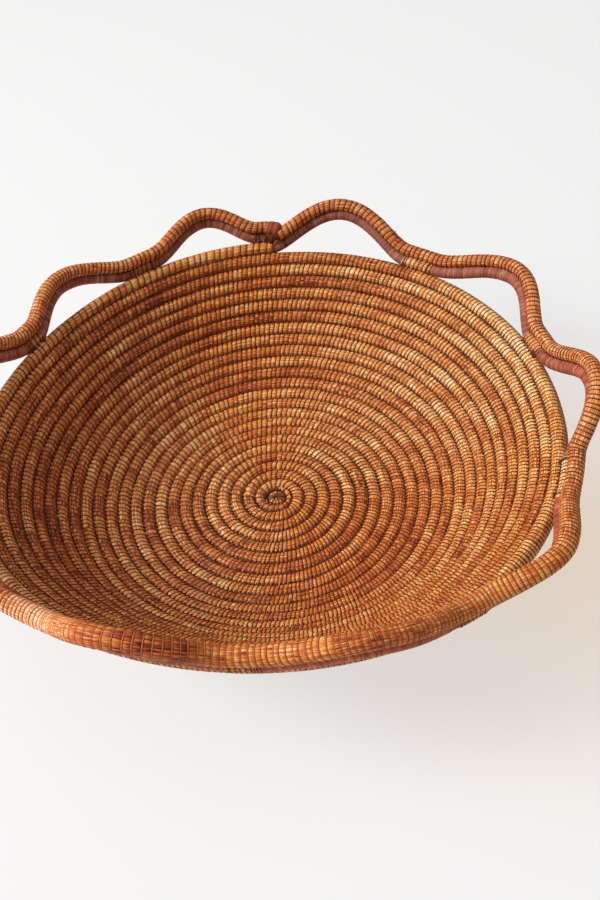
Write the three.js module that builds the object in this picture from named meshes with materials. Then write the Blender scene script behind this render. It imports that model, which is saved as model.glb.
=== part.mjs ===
import * as THREE from 'three';

// Coiled grass basket with an open scalloped rim. Millimetres, +Z up, standing on Z = 0.
// One coil runs from the middle of the base to the tie-off. It winds clockwise as seen from above,
// and each turn starts at the back, on +Y. Every turn is a piece of its own, an open spiral length.

// coil of the bowl
const coilWidth = 8.5;
const coilThickness = 10.2;
const rowGap = 0.7;
const endGap = 0.4;
const turnSteps = 30;

// turns of the coil, from the middle outwards
const baseCount = 7;
const heelCount = 10;
const wallCount = 7;
const flatFootedCount = 9;
const wallAngle = THREE.MathUtils.degToRad(48);

// The wall isn't quite round. It leans in and out by these depths, in two and three waves to the turn,
// and its rows rise and fall a little in two. All of it grows from the flat base to the last turn.
const twoWaveDepth = 4.9;
const threeWaveDepth = 4;
const rowWaveDepth = 2.6;
const twoWaveTurn = THREE.MathUtils.degToRad(-32);
const threeWaveTurn = THREE.MathUtils.degToRad(-131);
const rowWaveTurn = THREE.MathUtils.degToRad(49);

// start of the coil
const buttonRadius = 6;
const buttonCrown = 1.6;
const buttonSides = 20;
const taperWidth = 1.5;

// scalloped rim
const wrappedDiameter = 8.4;
const outerWidth = 9.4;
const outerThickness = 10.4;
const scallopHeight = 24;
const loopSteps = 10;
const loopSides = 8;
const seatSteps = 3;
const outerLead = 4.2;
const probeLength = 2;

// the ten loops: where each starts and how far it runs, as shares of the turn, its height as a share
// of the scallop height, and how far its top leans on along the row (1 is even). Then how steeply each
// loop rises from level, and how steeply the outer row stands on it, both in degrees.
const loopStartShares = [0.002, 0.11, 0.212, 0.32, 0.41, 0.514, 0.606, 0.725, 0.831, 0.922];
const loopSpanShares = [0.088, 0.086, 0.081, 0.076, 0.089, 0.079, 0.095, 0.094, 0.073, 0.069];
const loopHeightShares = [1.11, 0.91, 1.06, 0.65, 0.71, 1.12, 0.75, 1.1, 0.74, 0.83];
const loopLeanShares = [0.96, 1.17, 1.17, 1.15, 1, 1.16, 1.04, 1.04, 0.88, 1.16];
const loopRiseDegrees = [50, 36, 60, 40, 60, 63, 58, 54, 36, 37];
const outerRiseDegrees = [86, 80, 85, 46, 85, 66, 52, 72, 85, 86];
const loopBluntness = 0.8;

// tie-off of the coil's end
const knotLength = 9;
const knotRoom = 14;
const knotWidth = 8.6;
const knotThickness = 11;
const knotRings = 5;
const knotEndShare = 0.55;

// section of a coil: across the row and through the wall, as shares of its width and thickness
const shoulderShare = 0.27;
const footShare = 0.1;

// share of one turn that a length spans at a radius
const turnShare = (length, radius) => length / (2 * Math.PI * radius);

const pitch = coilWidth + rowGap;
const firstReach = buttonRadius + rowGap + taperWidth + rowGap + coilWidth / 2;
const coilCentreHeight = coilThickness * (0.5 - footShare);
const roundCount = baseCount + heelCount + wallCount;
const flatReach = firstReach + pitch * (baseCount - 1);
const heelReach = pitch * heelCount;
const heelRadius = heelReach / wallAngle;
const lastReach = firstReach + pitch * (roundCount - 1);

// a point of the bowl's profile at a reach measured along it from the middle
function profileAt(reach) {
  const bent = Math.min(Math.max(reach - flatReach, 0), heelReach);
  const straight = Math.max(reach - flatReach - heelReach, 0);
  const angle = bent / heelRadius;
  return {
    radius: Math.min(reach, flatReach) + heelRadius * Math.sin(angle) + straight * Math.cos(wallAngle),
    height: coilCentreHeight + heelRadius * (1 - Math.cos(angle)) + straight * Math.sin(wallAngle),
    angle,
  };
}

// level direction away from the axis, turns counted clockwise from +Y
function outwardAt(turns) {
  const azimuth = 2 * Math.PI * turns;
  return new THREE.Vector3(Math.sin(azimuth), Math.cos(azimuth), 0);
}

// direction that rises outwards at an angle from level
function risingAt(turns, angle) {
  const direction = outwardAt(turns).multiplyScalar(Math.cos(angle));
  direction.z = Math.sin(angle);
  return direction;
}

// one station of the coil: its centre, the direction across the row, and the one through the wall
function bowlStation(turns) {
  const reach = firstReach + pitch * (turns - 1);
  const profile = profileAt(reach);
  const across = risingAt(turns, profile.angle);
  const through = risingAt(turns, profile.angle + Math.PI / 2);
  const centre = outwardAt(turns).multiplyScalar(profile.radius);
  centre.z = profile.height;
  const grown = Math.max(reach - flatReach, 0) / (lastReach - flatReach);
  const azimuth = 2 * Math.PI * turns;
  const leaning = twoWaveDepth * Math.cos(2 * azimuth - twoWaveTurn)
    + threeWaveDepth * Math.cos(3 * azimuth - threeWaveTurn);
  centre.addScaledVector(through, leaning * grown * grown);
  centre.addScaledVector(across, rowWaveDepth * Math.cos(2 * azimuth - rowWaveTurn) * grown);
  return { centre, across, through };
}

// six-sided section, flat towards the neighbouring rows
function rowSection(width, thickness) {
  const half = width / 2;
  const shoulder = thickness * shoulderShare;
  const crown = thickness / 2;
  const upper = [[half, shoulder], [0, crown], [-half, shoulder]];
  return [...upper, ...upper.map(([x, y]) => [-x, -y])];
}

// the same section with its lowest edge cut flat, for the rows that stand on the floor
function footSection(width, thickness) {
  const cut = thickness * (0.5 - footShare);
  const slope = (0.5 - footShare - shoulderShare) / (0.5 - shoulderShare);
  const side = width / 2 * (1 - slope);
  const section = rowSection(width, thickness);
  section.splice(4, 1, [-side, -cut], [side, -cut]);
  return section;
}

function roundSection(diameter, sides) {
  const points = [];
  for (let i = 0; i < sides; i += 1) {
    const angle = 2 * Math.PI * (i + 0.5) / sides;
    points.push([diameter / 2 * Math.cos(angle), diameter / 2 * Math.sin(angle)]);
  }
  return points;
}

// the section's points set at a station, none lower than the floor
function placeSection(station, section) {
  return section.map(([x, y]) => {
    const point = station.centre.clone();
    point.addScaledVector(station.across, x).addScaledVector(station.through, y);
    point.z = Math.max(point.z, 0);
    return point;
  });
}

// closed tube through rings of points, with a flat cap at each end
function tubeGeometry(rings) {
  const sides = rings[0].length;
  const index = [];
  for (let i = 0; i + 1 < rings.length; i += 1) {
    for (let j = 0; j < sides; j += 1) {
      const a = i * sides + j;
      const b = i * sides + (j + 1) % sides;
      index.push(a, b, b + sides, a, b + sides, a + sides);
    }
  }
  const last = (rings.length - 1) * sides;
  for (let j = 1; j + 1 < sides; j += 1) {
    index.push(0, j + 1, j);
    index.push(last, last + j, last + j + 1);
  }
  const points = rings.flat();
  let volume = 0;
  for (let i = 0; i < index.length; i += 3) {
    const [a, b, c] = [points[index[i]], points[index[i + 1]], points[index[i + 2]]];
    volume += a.dot(b.clone().cross(c));
  }
  const geometry = new THREE.BufferGeometry().setFromPoints(points);
  geometry.setIndex(volume > 0 ? index : index.reverse());
  return geometry;
}

// straw, rust and thread finishes
const grass = (color) => new THREE.MeshStandardMaterial({ color, roughness: 0.75, metalness: 0 });
const roundColours = ['#b9783a', '#a5602e', '#c28a48', '#9a4f2c'];
const rowGrass = roundColours.map(grass);
const rimGrass = grass('#b46c3c');
const wrapThread = new THREE.MeshStandardMaterial({ color: '#8a4a38', roughness: 0.6, metalness: 0 });

const basket = new THREE.Group();

function addPiece(name, geometry, material) {
  const piece = new THREE.Mesh(geometry, material);
  piece.name = name;
  basket.add(piece);
}

const numbered = (name, number) => `${name}_${String(number).padStart(2, '0')}`;

// middle of the base: a low crowned button with a flat foot
function buttonGeometry() {
  const edge = coilCentreHeight * 2 - buttonCrown;
  const profile = [[0, 0], [buttonRadius, 0], [buttonRadius, edge], [buttonRadius / 2, edge + buttonCrown],
    [0, edge + buttonCrown]];
  const outline = profile.map(([radius, height]) => new THREE.Vector2(radius, height));
  return new THREE.LatheGeometry(outline, buttonSides).rotateX(Math.PI / 2);
}

// one turn of the coil. The first one tapers in from a thin start.
function roundRings(number) {
  const station = bowlStation(number - 0.5);
  const inset = turnShare(endGap / 2, Math.hypot(station.centre.x, station.centre.y));
  const standing = number <= flatFootedCount;
  const section = standing ? footSection : rowSection;
  const rings = [];
  for (let i = 0; i <= turnSteps; i += 1) {
    const share = Math.min(Math.max(i / turnSteps, inset), 1 - inset);
    const place = bowlStation(number - 1 + share);
    const taper = number === 1 ? share : 1;
    const width = taperWidth + (coilWidth - taperWidth) * taper;
    place.centre.addScaledVector(place.across, (coilWidth - width) / 2);
    rings.push(placeSection(place, section(width, coilThickness)));
  }
  return rings;
}

function roundName(number) {
  if (number <= baseCount) return numbered('base_round', number);
  if (number <= baseCount + heelCount) return numbered('heel_round', number - baseCount);
  return numbered('wall_round', number - baseCount - heelCount);
}

// the last wall round as it is built, straight from station to station
function rimCentre(turns) {
  const step = Math.min(Math.floor(turns * turnSteps), turnSteps - 1);
  const low = bowlStation(roundCount - 1 + step / turnSteps).centre;
  const high = bowlStation(roundCount - 1 + (step + 1) / turnSteps).centre;
  return low.lerp(high, turns * turnSteps - step);
}

const rimRadius = Math.hypot(rimCentre(0.5).x, rimCentre(0.5).y);
const loopMiddleShares = loopStartShares.map((start, i) => start + loopSpanShares[i] / 2);

// an angle of the scallops at a place, blended from loop to loop
function blendedAt(turns, loopDegrees) {
  const count = loopMiddleShares.length;
  const place = (turns + 1) % 1;
  const found = loopMiddleShares.findIndex((middle) => middle > place);
  const next = found < 0 ? 0 : found;
  const before = (next + count - 1) % count;
  const span = (loopMiddleShares[next] - loopMiddleShares[before] + 1) % 1;
  const share = ((place - loopMiddleShares[before] + 1) % 1) / span;
  const degrees = THREE.MathUtils.lerp(loopDegrees[before], loopDegrees[next], share);
  return THREE.MathUtils.degToRad(degrees);
}

// height of the inner row above its seat on the wall
function liftAt(turns) {
  for (let i = 0; i < loopStartShares.length; i += 1) {
    const share = (turns - loopStartShares[i]) / loopSpanShares[i];
    const inside = share > 0 && share < 1;
    const leaning = inside ? share ** loopLeanShares[i] : 0;
    const arch = ((1 - Math.cos(2 * Math.PI * leaning)) / 2) ** loopBluntness;
    if (inside) return scallopHeight * loopHeightShares[i] * arch;
  }
  return 0;
}

function innerCentre(turns) {
  const place = THREE.MathUtils.clamp(turns, 0, 1);
  const lift = pitch + liftAt(place);
  return rimCentre(place).addScaledVector(risingAt(place, blendedAt(place, loopRiseDegrees)), lift);
}

// a station of the inner row, square to the way it runs
function innerStation(turns) {
  const probe = turnShare(probeLength, rimRadius);
  const along = innerCentre(turns + probe).sub(innerCentre(turns - probe)).normalize();
  const rise = risingAt(turns, blendedAt(turns, outerRiseDegrees));
  const across = rise.addScaledVector(along, -rise.dot(along)).normalize();
  return { centre: innerCentre(turns), across, through: along.clone().cross(across) };
}

// the outer row lies against the outside of the inner one
function outerStation(turns) {
  const station = innerStation(turns);
  const offset = Math.max(wrappedDiameter, coilWidth) / 2 + outerWidth / 2 + rowGap;
  station.centre.addScaledVector(station.across, offset);
  return station;
}

// places along a stretch of the rim, both ends included
function placesBetween(from, to, steps) {
  return Array.from({ length: steps + 1 }, (unused, i) => THREE.MathUtils.lerp(from, to, i / steps));
}

function rowRings(stationAt, section, places) {
  return places.map((place) => placeSection(stationAt(place), section));
}

// a swelling barrel that closes the end of the outer row
function knotRingsAt(from, length) {
  const start = outerStation(from);
  const before = outerStation(from - turnShare(probeLength, rimRadius));
  const along = start.centre.clone().sub(before.centre).normalize();
  const rings = [];
  for (let i = 0; i <= knotRings; i += 1) {
    const share = i / knotRings;
    const swell = knotEndShare + (1 - knotEndShare) * Math.sin(Math.PI * share);
    const centre = start.centre.clone().addScaledVector(along, length * share);
    const section = rowSection(knotWidth * swell, knotThickness * swell);
    rings.push(placeSection({ ...start, centre }, section));
  }
  return rings;
}

addPiece('base_button', buttonGeometry(), rowGrass[0]);

const roundRingSets = [];
for (let number = 1; number <= roundCount; number += 1) {
  const rings = roundRings(number);
  roundRingSets.push(rings);
  addPiece(roundName(number), tubeGeometry(rings), rowGrass[number % rowGrass.length]);
}

const endInset = turnShare(endGap / 2, rimRadius);
const loopSection = roundSection(wrappedDiameter, loopSides);
const seatSection = roundSection(coilWidth, loopSides);
const rimPlaces = [];
loopStartShares.forEach((start, i) => {
  const end = start + loopSpanShares[i];
  const next = loopStartShares[i + 1] ?? 1;
  const loopPlaces = placesBetween(start + endInset, end - endInset, loopSteps);
  rimPlaces.push(...loopPlaces);
  const loopRings = rowRings(innerStation, loopSection, loopPlaces);
  addPiece(numbered('scallop_loop', i + 1), tubeGeometry(loopRings), wrapThread);
  const seatPlaces = placesBetween(end + endInset, next - endInset, seatSteps);
  rimPlaces.push(...seatPlaces);
  const seatRings = rowRings(innerStation, seatSection, seatPlaces);
  addPiece(numbered('scallop_seat', i + 1), tubeGeometry(seatRings), rimGrass);
});

// The outer row shares the inner row's places, so that both bend alike. Each of its lengths spans one
// scallop, from the middle of one seat to the middle of the next.
const outerStart = turnShare(outerLead, rimRadius);
const outerEnd = 1 - turnShare(knotRoom, rimRadius);
const outerSection = rowSection(outerWidth, outerThickness);
const loopEnds = loopStartShares.map((start, i) => start + loopSpanShares[i]);
const seatMiddles = loopStartShares.slice(1).map((next, i) => (next + loopEnds[i]) / 2);
const outerBounds = [outerStart, ...seatMiddles, outerEnd];
outerBounds.slice(1).forEach((bound, i) => {
  const from = outerBounds[i] + (i > 0 ? endInset : 0);
  const to = bound - (bound < outerEnd ? endInset : 0);
  const between = rimPlaces.filter((place) => place > from && place < to);
  const rings = rowRings(outerStation, outerSection, [from, ...between, to]);
  addPiece(numbered('scallop_outer', i + 1), tubeGeometry(rings), rimGrass);
});
addPiece('tie_off_knot', tubeGeometry(knotRingsAt(outerEnd + endInset * 2, knotLength)), wrapThread);

// distance from a point to the nearest side of a ring
function ringDistance(point, ring) {
  const nearest = new THREE.Vector3();
  const side = new THREE.Line3();
  return Math.min(...ring.map((corner, i) => {
    side.set(corner, ring[(i + 1) % ring.length]);
    return side.closestPointToPoint(point, true, nearest).distanceTo(point);
  }));
}

// least gap of the coil to its own next turn, at the stations where both have a ring
const gaps = roundRingSets.slice(1).flatMap((rings, i) => rings.map((ring, j) => {
  const inner = roundRingSets[i][j];
  return Math.min(...ring.map((point) => ringDistance(point, inner)));
}));
console.log(`least gap between turns of the coil: ${Math.min(...gaps).toFixed(2)} mm`);

export default basket;
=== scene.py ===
import math

import bpy
import numpy as np
from mathutils import Matrix, Vector


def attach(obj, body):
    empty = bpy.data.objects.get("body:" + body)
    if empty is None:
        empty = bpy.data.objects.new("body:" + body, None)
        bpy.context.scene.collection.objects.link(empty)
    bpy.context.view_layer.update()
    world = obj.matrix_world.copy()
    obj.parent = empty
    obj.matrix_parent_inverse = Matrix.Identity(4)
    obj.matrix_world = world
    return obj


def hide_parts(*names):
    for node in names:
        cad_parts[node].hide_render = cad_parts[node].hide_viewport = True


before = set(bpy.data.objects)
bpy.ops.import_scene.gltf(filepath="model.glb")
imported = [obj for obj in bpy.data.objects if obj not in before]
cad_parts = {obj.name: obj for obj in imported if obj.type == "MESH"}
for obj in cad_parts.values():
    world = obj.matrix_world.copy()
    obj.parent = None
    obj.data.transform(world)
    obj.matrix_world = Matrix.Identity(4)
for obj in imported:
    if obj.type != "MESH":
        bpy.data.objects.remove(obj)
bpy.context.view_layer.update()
print("frame loaded:", len(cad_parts), "nodes")

mm = 0.001
chance = np.random.default_rng(41)

# the path of the coil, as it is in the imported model
coilPath = {
    "pitch": 9.2 * mm,  # row to row
    "firstReach": 13.15 * mm,  # middle of the base to the end of the first turn
    "centreHeight": 4.08 * mm,
    "baseRounds": 7,
    "heelRounds": 10,
    "wallRounds": 7,
    "wallAngle": math.radians(48),
    # the wall leans in and out in two and three waves, and its rows rise and fall in two
    "twoWaves": (4.9 * mm, math.radians(-32)),
    "threeWaves": (4 * mm, math.radians(-131)),
    "rowWaves": (2.6 * mm, math.radians(49)),
}
rounds = coilPath["baseRounds"] + coilPath["heelRounds"] + coilPath["wallRounds"]
flatReach = coilPath["firstReach"] + coilPath["pitch"] * (coilPath["baseRounds"] - 1)
heelReach = coilPath["pitch"] * coilPath["heelRounds"]
heelRadius = heelReach / coilPath["wallAngle"]
lastReach = coilPath["firstReach"] + coilPath["pitch"] * (rounds - 1)

# the scalloped rim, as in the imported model. Starts, spans, heights and leans of the loops are shares
rimPath = {
    "height": 24 * mm,
    "bluntness": 0.8,
    "outerOffset": 8.6 * mm,
    "ease": 0.0035,  # step of the outer row's easing, in turns
    "probe": 0.0017,  # how far to both sides a row's direction is read, in turns
    "starts": (0.002, 0.11, 0.212, 0.32, 0.41, 0.514, 0.606, 0.725, 0.831, 0.922),
    "spans": (0.088, 0.086, 0.081, 0.076, 0.089, 0.079, 0.095, 0.094, 0.073, 0.069),
    "heights": (1.11, 0.91, 1.06, 0.65, 0.71, 1.12, 0.75, 1.1, 0.74, 0.83),
    "leans": (0.96, 1.17, 1.17, 1.15, 1, 1.16, 1.04, 1.04, 0.88, 1.16),
    "rises": (50, 36, 60, 40, 60, 63, 58, 54, 36, 37),  # of each loop, degrees from level
    "outerRises": (83, 59, 77, 68, 84, 73, 42, 54, 89, 87),  # of the outer row on it
    # where the outer row is thicker than elsewhere: place in turns and share
    "outerThick": ((0, 1), (0.22, 1), (0.27, 1.06), (0.31, 1.08), (0.345, 1.24), (0.44, 1.15),
                   (0.5, 1.25), (0.57, 1.3), (0.64, 1.25), (0.7, 1.08), (0.78, 1.05), (0.82, 1.2),
                   (0.85, 1.18), (0.88, 1)),
    "easeWeights": ((-2, 1), (-1, 4), (0, 6), (1, 4), (2, 1)),  # steps of the easing, what each counts
}


def unit(vectors):
    return vectors / np.linalg.norm(vectors, axis=-1, keepdims=True)


def readAt(table, turns):
    # a value between the places of a table of (turns, value)
    places, values = np.array(table, float).T
    return np.interp(turns, places, values)


def squared(along, rise):
    # the part of the rise that is square to the row
    return unit(rise - along * np.sum(rise * along, -1, keepdims=True))


def rising(turns, angle):
    # points away from the axis and up by the angle, turns run clockwise from the back
    azimuth = 2 * np.pi * np.asarray(turns, float)
    level = np.cos(angle)
    return np.stack([np.sin(azimuth) * level, np.cos(azimuth) * level, np.sin(angle) + 0 * azimuth], -1)


def bowlStation(turns):
    turns = np.asarray(turns, float)
    reach = coilPath["firstReach"] + coilPath["pitch"] * (turns - 1)
    angle = np.clip(reach - flatReach, 0, heelReach) / heelRadius
    straight = np.maximum(reach - flatReach - heelReach, 0)
    radius = np.minimum(reach, flatReach) + heelRadius * np.sin(angle)
    radius = radius + straight * np.cos(coilPath["wallAngle"])
    height = coilPath["centreHeight"] + heelRadius * (1 - np.cos(angle))
    height = height + straight * np.sin(coilPath["wallAngle"])
    centre = rising(turns, 0 * turns) * radius[..., None]
    centre[..., 2] = height
    across, through = rising(turns, angle), rising(turns, angle + np.pi / 2)
    grown = np.maximum(reach - flatReach, 0) / (lastReach - flatReach)
    azimuth = 2 * np.pi * turns
    two, three, row = (coilPath[waves] for waves in ("twoWaves", "threeWaves", "rowWaves"))
    leaning = two[0] * np.cos(2 * azimuth - two[1]) + three[0] * np.cos(3 * azimuth - three[1])
    centre = centre + through * (leaning * grown**2)[..., None]
    centre = centre + across * (row[0] * np.cos(2 * azimuth - row[1]) * grown)[..., None]
    return centre, across, through


def blendedAt(turns, degrees):
    # an angle of the loops at a place, blended from one loop to the next
    middles = np.array(rimPath["starts"]) + np.array(rimPath["spans"]) / 2
    around = np.concatenate([middles[-1:] - 1, middles, middles[:1] + 1])
    angles = np.radians(np.array(degrees, float))
    return np.interp(turns, around, np.concatenate([angles[-1:], angles, angles[:1]]))


def innerCentre(turns):
    place = np.clip(turns, 0, 1)
    lift = np.zeros_like(place)
    loops = zip(rimPath["starts"], rimPath["spans"], rimPath["heights"], rimPath["leans"])
    for start, span, height, lean in loops:
        share = np.clip((place - start) / span, 0, 1) ** lean
        arch = np.maximum((1 - np.cos(2 * np.pi * share)) / 2, 0) ** rimPath["bluntness"]
        lift = lift + rimPath["height"] * height * arch
    seat = bowlStation(rounds - 1 + place)[0]
    way = rising(place, blendedAt(place, rimPath["rises"]))
    return seat + way * (coilPath["pitch"] + lift)[..., None]


def innerStation(turns, degrees="outerRises"):
    turns = np.asarray(turns, float)
    along = unit(innerCentre(turns + rimPath["probe"]) - innerCentre(turns - rimPath["probe"]))
    across = squared(along, rising(turns, blendedAt(turns, rimPath[degrees])))
    return innerCentre(turns), across, np.cross(along, across)


def seatStation(turns):
    # the inner row where it lies on the wall, its lower side turned to the wall's last row
    return innerStation(turns, "rises")


def outerThickness(turns):
    return readAt(rimPath["outerThick"], turns)


def outerCentre(turns):
    # on the inner row, and eased so that it passes the contacts in a gentle bend
    ease = np.minimum(rimPath["ease"], np.maximum(np.minimum(turns, 1 - turns), 0) / 2)
    total = sum(weight for step, weight in rimPath["easeWeights"])
    eased = 0
    for step, weight in rimPath["easeWeights"]:
        near = turns + step * ease
        centre, across, _ = innerStation(near)
        away = rimPath["outerOffset"] * (1 + outerThickness(near)) / 2
        eased = eased + (centre + across * away[..., None]) * weight / total
    return eased


def outerStation(turns):
    turns = np.asarray(turns, float)
    before = np.maximum(turns - rimPath["probe"], 0)
    after = np.minimum(turns + rimPath["probe"], 1)
    along = unit(outerCentre(after) - outerCentre(before))
    across = squared(along, rising(turns, blendedAt(turns, rimPath["outerRises"])))
    return outerCentre(turns), across, np.cross(along, across)


def inScene(name, data):
    made = bpy.data.objects.new(name, data)
    bpy.context.scene.collection.objects.link(made)
    return made


def piece(name, points, faces, maps, material):
    # faces are arrays of point numbers, one array for each number of sides, and a map has a pair of
    # values for each corner of them
    mesh = bpy.data.meshes.new(name)
    corners = np.concatenate([face.ravel() for face in faces])
    counts = np.concatenate([np.full(len(face), face.shape[1]) for face in faces])
    mesh.vertices.add(len(points))
    mesh.vertices.foreach_set("co", points.astype(np.float32).ravel())
    mesh.loops.add(len(corners))
    mesh.loops.foreach_set("vertex_index", corners.astype(np.int32))
    mesh.polygons.add(len(counts))
    starts = np.concatenate([[0], np.cumsum(counts)[:-1]])
    mesh.polygons.foreach_set("loop_start", starts.astype(np.int32))
    mesh.polygons.foreach_set("use_smooth", np.ones(len(counts), bool))
    for title, values in maps.items():
        layer = mesh.uv_layers.new(name=title)
        layer.data.foreach_set("uv", values.astype(np.float32).ravel())
    mesh.update(calc_edges=True)
    mesh.materials.append(material)
    made = inScene(name, mesh)
    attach(made, "root")
    return made


def tubePiece(name, rings, maps, material):
    # rings has a row of rings for each tube. A map is two tables of a value for each ring, or one table
    # and None, where the second value runs once around the ring
    tubes, count, around, _ = rings.shape
    index = np.arange(tubes * count * around).reshape(tubes, count, around)
    nextAround = np.roll(index, -1, 2)
    sides = np.stack([index[:, :-1], nextAround[:, :-1], nextAround[:, 1:], index[:, 1:]], -1)
    first = rings[0, 0]
    turnSense = np.cross(first[1] - first[0], first[2] - first[1])
    inward = np.dot(turnSense, rings[0, 1].mean(0) - first.mean(0)) < 0
    sides = sides.reshape(-1, 4)
    startCaps = index[:, 0][:, ::-1]
    endCaps = index[:, -1]
    if inward:
        sides, startCaps, endCaps = sides[:, ::-1], startCaps[:, ::-1], endCaps[:, ::-1]
    made = {}
    shape = (tubes, count - 1, around)
    for title, (alongRow, aroundRow) in maps.items():
        near, far = alongRow[:, :-1, None], alongRow[:, 1:, None]
        if aroundRow is None:
            low = np.arange(around) / around
            high = low + 1 / around
            pairs = ((near, low), (near, high), (far, high), (far, low))
        else:
            low, high = aroundRow[:, :-1, None], aroundRow[:, 1:, None]
            pairs = ((near, low), (near, low), (far, high), (far, high))
        wall = [np.stack([np.broadcast_to(value, shape) for value in pair], -1) for pair in pairs]
        wall = np.stack(wall, -2).reshape(-1, 4, 2)
        if inward:
            wall = wall[:, ::-1]
        ends = np.stack([alongRow, 0 * alongRow + 0.5 if aroundRow is None else aroundRow], -1)
        caps = [np.repeat(ends[:, ring, None], around, 1).reshape(-1, 2) for ring in (0, -1)]
        made[title] = np.concatenate([wall.reshape(-1, 2)] + caps)
    return piece(name, rings.reshape(-1, 3), [sides, startCaps, endCaps], made, material)


# shader helpers: each returns the output socket that the next one reads
def newMaterial(name):
    material = bpy.data.materials.new(name)
    material.use_nodes = True
    tree = material.node_tree
    tree.nodes.clear()
    shader = tree.nodes.new("ShaderNodeBsdfPrincipled")
    output = tree.nodes.new("ShaderNodeOutputMaterial")
    tree.links.new(shader.outputs["BSDF"], output.inputs["Surface"])
    return material, tree, shader


def feed(tree, socket, value):
    if isinstance(value, bpy.types.NodeSocket):
        tree.links.new(value, socket)
    elif value is not None:
        socket.default_value = value


def sums(tree, operation, result, *others):
    # takes in one value after another, or works on the first alone
    for other in others or (None,):
        made = tree.nodes.new("ShaderNodeMath")
        made.operation = operation
        feed(tree, made.inputs[0], result)
        feed(tree, made.inputs[1], other)
        result = made.outputs[0]
    return result


def mapAxes(tree, title):
    source = tree.nodes.new("ShaderNodeUVMap")
    source.uv_map = title
    split = tree.nodes.new("ShaderNodeSeparateXYZ")
    tree.links.new(source.outputs["UV"], split.inputs[0])
    return split.outputs["X"], split.outputs["Y"]


def grain(tree, x, y, z=None, detail=2.0, roughness=0.55):
    joined = tree.nodes.new("ShaderNodeCombineXYZ")
    feed(tree, joined.inputs[0], x)
    feed(tree, joined.inputs[1], y)
    feed(tree, joined.inputs[2], z)
    made = tree.nodes.new("ShaderNodeTexNoise")
    made.inputs["Scale"].default_value = 1.0
    made.inputs["Detail"].default_value = detail
    made.inputs["Roughness"].default_value = roughness
    tree.links.new(joined.outputs[0], made.inputs["Vector"])
    return made.outputs["Fac"]


def streaks(tree, along, around, often, layer=None, detail=2.0):
    # grain drawn out along the row: how often it changes along a stitch and around the row
    x = sums(tree, "MULTIPLY", along, often[0])
    y = sums(tree, "MULTIPLY", around, often[1])
    return grain(tree, x, y, layer, detail)


def fromEdge(tree, along):
    # 0 at a stitch, 0.5 midway to the next one
    inside = sums(tree, "FRACT", along)
    return sums(tree, "MINIMUM", inside, sums(tree, "SUBTRACT", 1.0, inside))


def dice(tree, value):
    made = tree.nodes.new("ShaderNodeTexWhiteNoise")
    made.noise_dimensions = "1D"
    feed(tree, made.inputs["W"], value)
    return made.outputs["Value"]


def remap(tree, value, low, high, newLow=0.0, newHigh=1.0):
    made = tree.nodes.new("ShaderNodeMapRange")
    feed(tree, made.inputs["Value"], value)
    for title, number in (("From Min", low), ("From Max", high), ("To Min", newLow), ("To Max", newHigh)):
        made.inputs[title].default_value = number
    return made.outputs["Result"]


def linear(colour):
    # a written colour such as c98a45 as the shader's numbers
    parts = [int(colour[i:i + 2], 16) / 255 for i in (0, 2, 4)]
    return [p / 12.92 if p <= 0.04045 else ((p + 0.055) / 1.055) ** 2.4 for p in parts] + [1.0]


def ramp(tree, value, stops):
    made = tree.nodes.new("ShaderNodeValToRGB")
    feed(tree, made.inputs[0], value)
    band = made.color_ramp.elements
    while len(band) < len(stops):
        band.new(0.5)
    for element, (place, colour) in zip(band, stops):
        element.position = place
        element.color = linear(colour)
    return made.outputs["Color"]


def tint(tree, kind, amount, first, second):
    made = tree.nodes.new("ShaderNodeMix")
    made.data_type = "RGBA"
    made.blend_type = kind
    feed(tree, made.inputs["Factor"], amount)
    feed(tree, made.inputs["A"], first)
    feed(tree, made.inputs["B"], second)
    return made.outputs["Result"]


def shaded(tree, colour, light):
    grey = tree.nodes.new("ShaderNodeCombineXYZ")
    for socket in grey.inputs:
        feed(tree, socket, light)
    return tint(tree, "MULTIPLY", 1.0, colour, grey.outputs[0])


def surface(tree, shader, colour, roughness, shine):
    feed(tree, shader.inputs["Base Color"], colour)
    feed(tree, shader.inputs["Roughness"], roughness)
    feed(tree, shader.inputs["Specular IOR Level"], shine)


def relief(tree, shader, height, strength, distance):
    made = tree.nodes.new("ShaderNodeBump")
    made.inputs["Strength"].default_value = strength
    made.inputs["Distance"].default_value = distance
    tree.links.new(height, made.inputs["Height"])
    tree.links.new(made.outputs["Normal"], shader.inputs["Normal"])


grassLook = {
    # from the reddest stems to the palest straw
    "tones": ((0.0, "4e1c0c"), (0.16, "853a1c"), (0.34, "b7632f"), (0.5, "cf8043"), (0.64, "db9c4c"),
              (0.8, "e8c384"), (1.0, "fbecc6")),
    "cellSpread": 0.12,  # how much the tone differs between one stitch and the next
    "stemSpread": 0.66,  # and between the stems side by side
    "splitSpread": 0.4,
    # how often they change along a stitch and around the row
    "stems": (0.25, 38.0),
    "splits": (0.8, 85.0),
    "hairs": (1.3, 150.0),
    "hairLight": (0.78, 1.12),
    "slip": 1.1,  # how far the stems shift from one stitch to the next
    "threadShade": 0.66,
    "bite": (0.1, 0.26),  # the shade beside a stitch clears between these shares of a cell
    "seamShade": 0.2,
    "seam": (0.39, 0.485),  # the same for the seams, in shares of the way around the row
    "nextSeam": (0.015, 0.11),
    "orange": "ffe6bb",  # tints laid over the tone
    "pink": "ffdadd",
    "roughness": (0.5, 0.7),
    "shine": 0.22,
    "relief": (0.7, 0.45 * mm),
    "reliefShares": (0.6, 0.4),  # of the splits and hairs, beside the stems
}


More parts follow.
